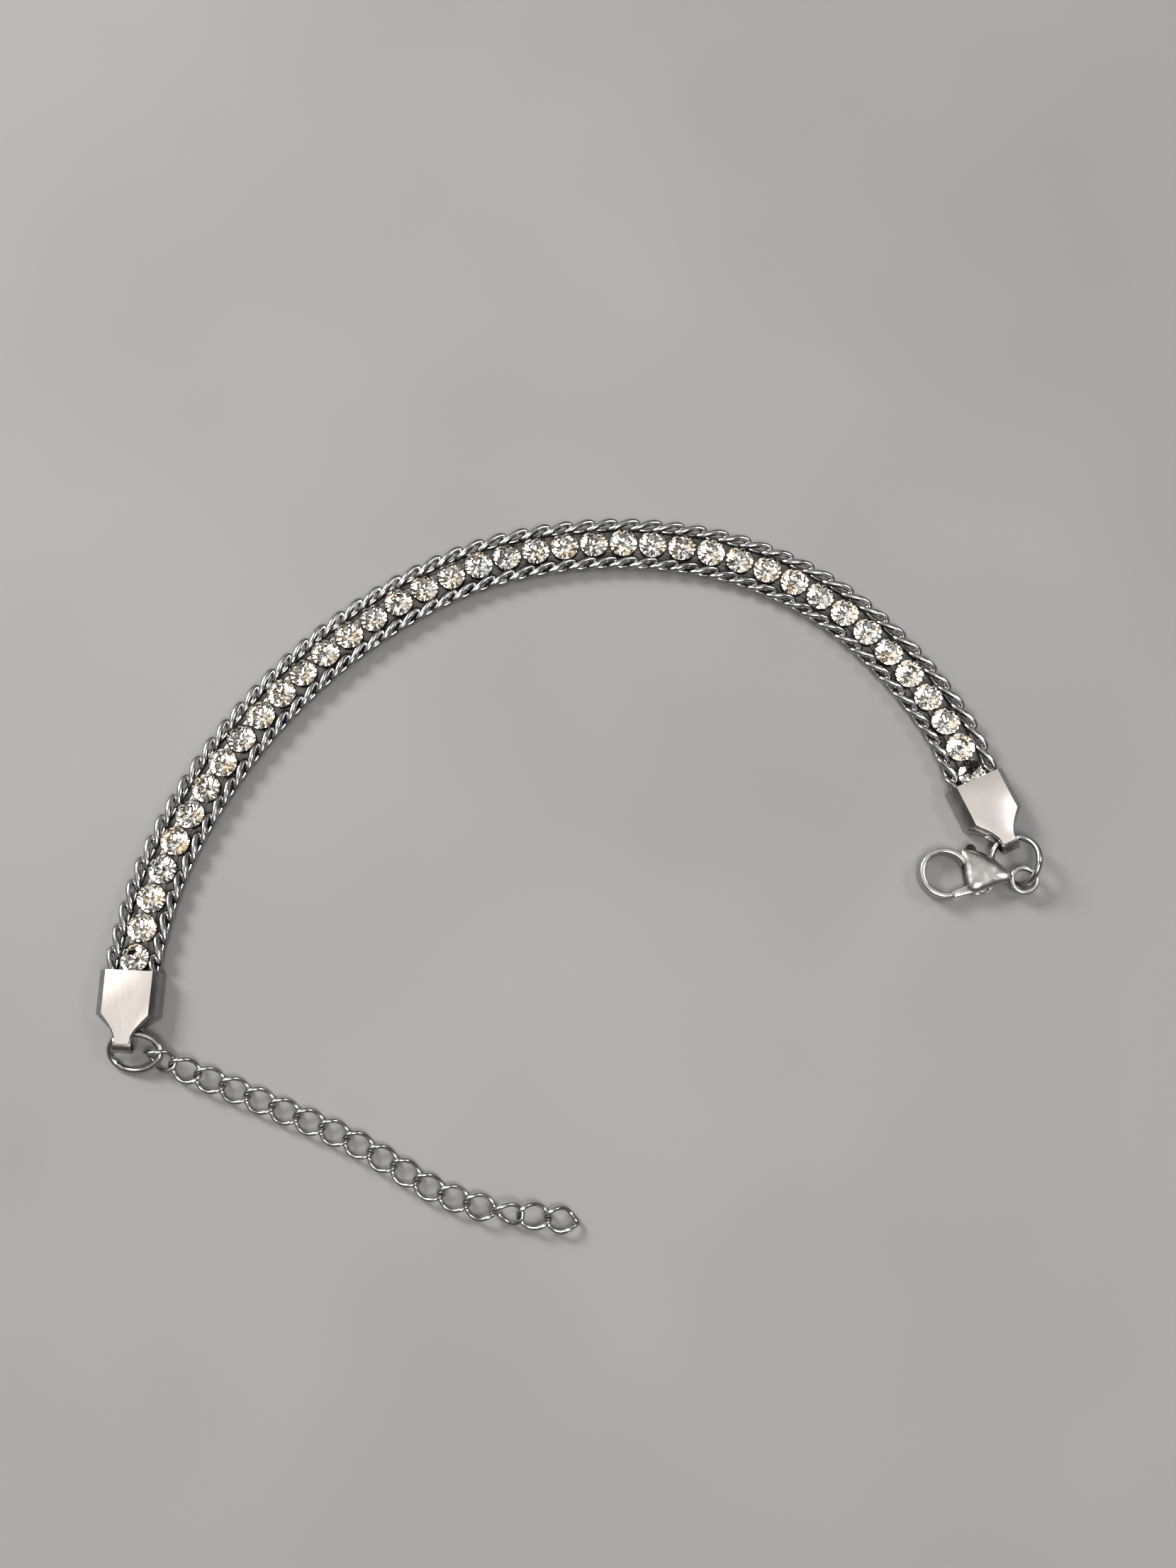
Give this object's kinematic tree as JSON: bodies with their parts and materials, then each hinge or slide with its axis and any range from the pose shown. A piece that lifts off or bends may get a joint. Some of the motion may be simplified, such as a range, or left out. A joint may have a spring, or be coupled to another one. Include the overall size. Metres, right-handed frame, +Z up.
{
  "type": "tennis bracelet",
  "caption": "Bracelet of round clear stones in metal cups between two rows of curb links, lying open in an arch, with end caps, extension chain and lobster clasp.",
  "frame": {"origin": "bottom centre of the bounding box, on the table that the bracelet lies on", "axes": "+Z up from the table; +Y towards the top of the arch; +X from the extension chain's end to the clasp's end"},
  "size_m": [0.103, 0.0804, 0.0037],
  "materials": {
    "crystal": "clear cut glass with a foiled back",
    "polished_steel": "polished stainless steel",
    "satin_steel": "satin stainless steel"
  },
  "bodies": {
    "root": {"clasp_body": "polished_steel", "cup_chain": "polished_steel", "end_cap_left": "satin_steel", "end_cap_right": "satin_steel", "extension_chain": "polished_steel", "jump_ring_left": "polished_steel", "jump_ring_right": "polished_steel", "side_chain_inner": "polished_steel", "side_chain_outer": "polished_steel", "stone_01": "crystal", "stone_02": "crystal", "stone_03": "crystal", "stone_04": "crystal", "stone_05": "crystal", "stone_06": "crystal", "stone_07": "crystal", "stone_08": "crystal", "stone_09": "crystal", "stone_10": "crystal", "stone_11": "crystal", "stone_12": "crystal", "stone_13": "crystal", "stone_14": "crystal", "stone_15": "crystal", "stone_16": "crystal", "stone_17": "crystal", "stone_18": "crystal", "stone_19": "crystal", "stone_20": "crystal", "stone_21": "crystal", "stone_22": "crystal", "stone_23": "crystal", "stone_24": "crystal", "stone_25": "crystal", "stone_26": "crystal", "stone_27": "crystal", "stone_28": "crystal", "stone_29": "crystal", "stone_30": "crystal", "stone_31": "crystal", "stone_32": "crystal", "stone_33": "crystal", "stone_34": "crystal", "stone_35": "crystal", "stone_36": "crystal", "stone_37": "crystal", "stone_38": "crystal", "stone_39": "crystal"},
    "lever": {"clasp_lever": "polished_steel"}
  },
  "joints": [
    {"name": "clasp_lever", "type": "hinge", "parent": "root", "child": "lever", "pos_m": [0.04506, -0.00298, 0.0012], "axis": [0, 0, -1], "range_deg": [0, 20], "stiffness_Nm_per_rad": 0.004, "springref_deg": -11.46}
  ]
}
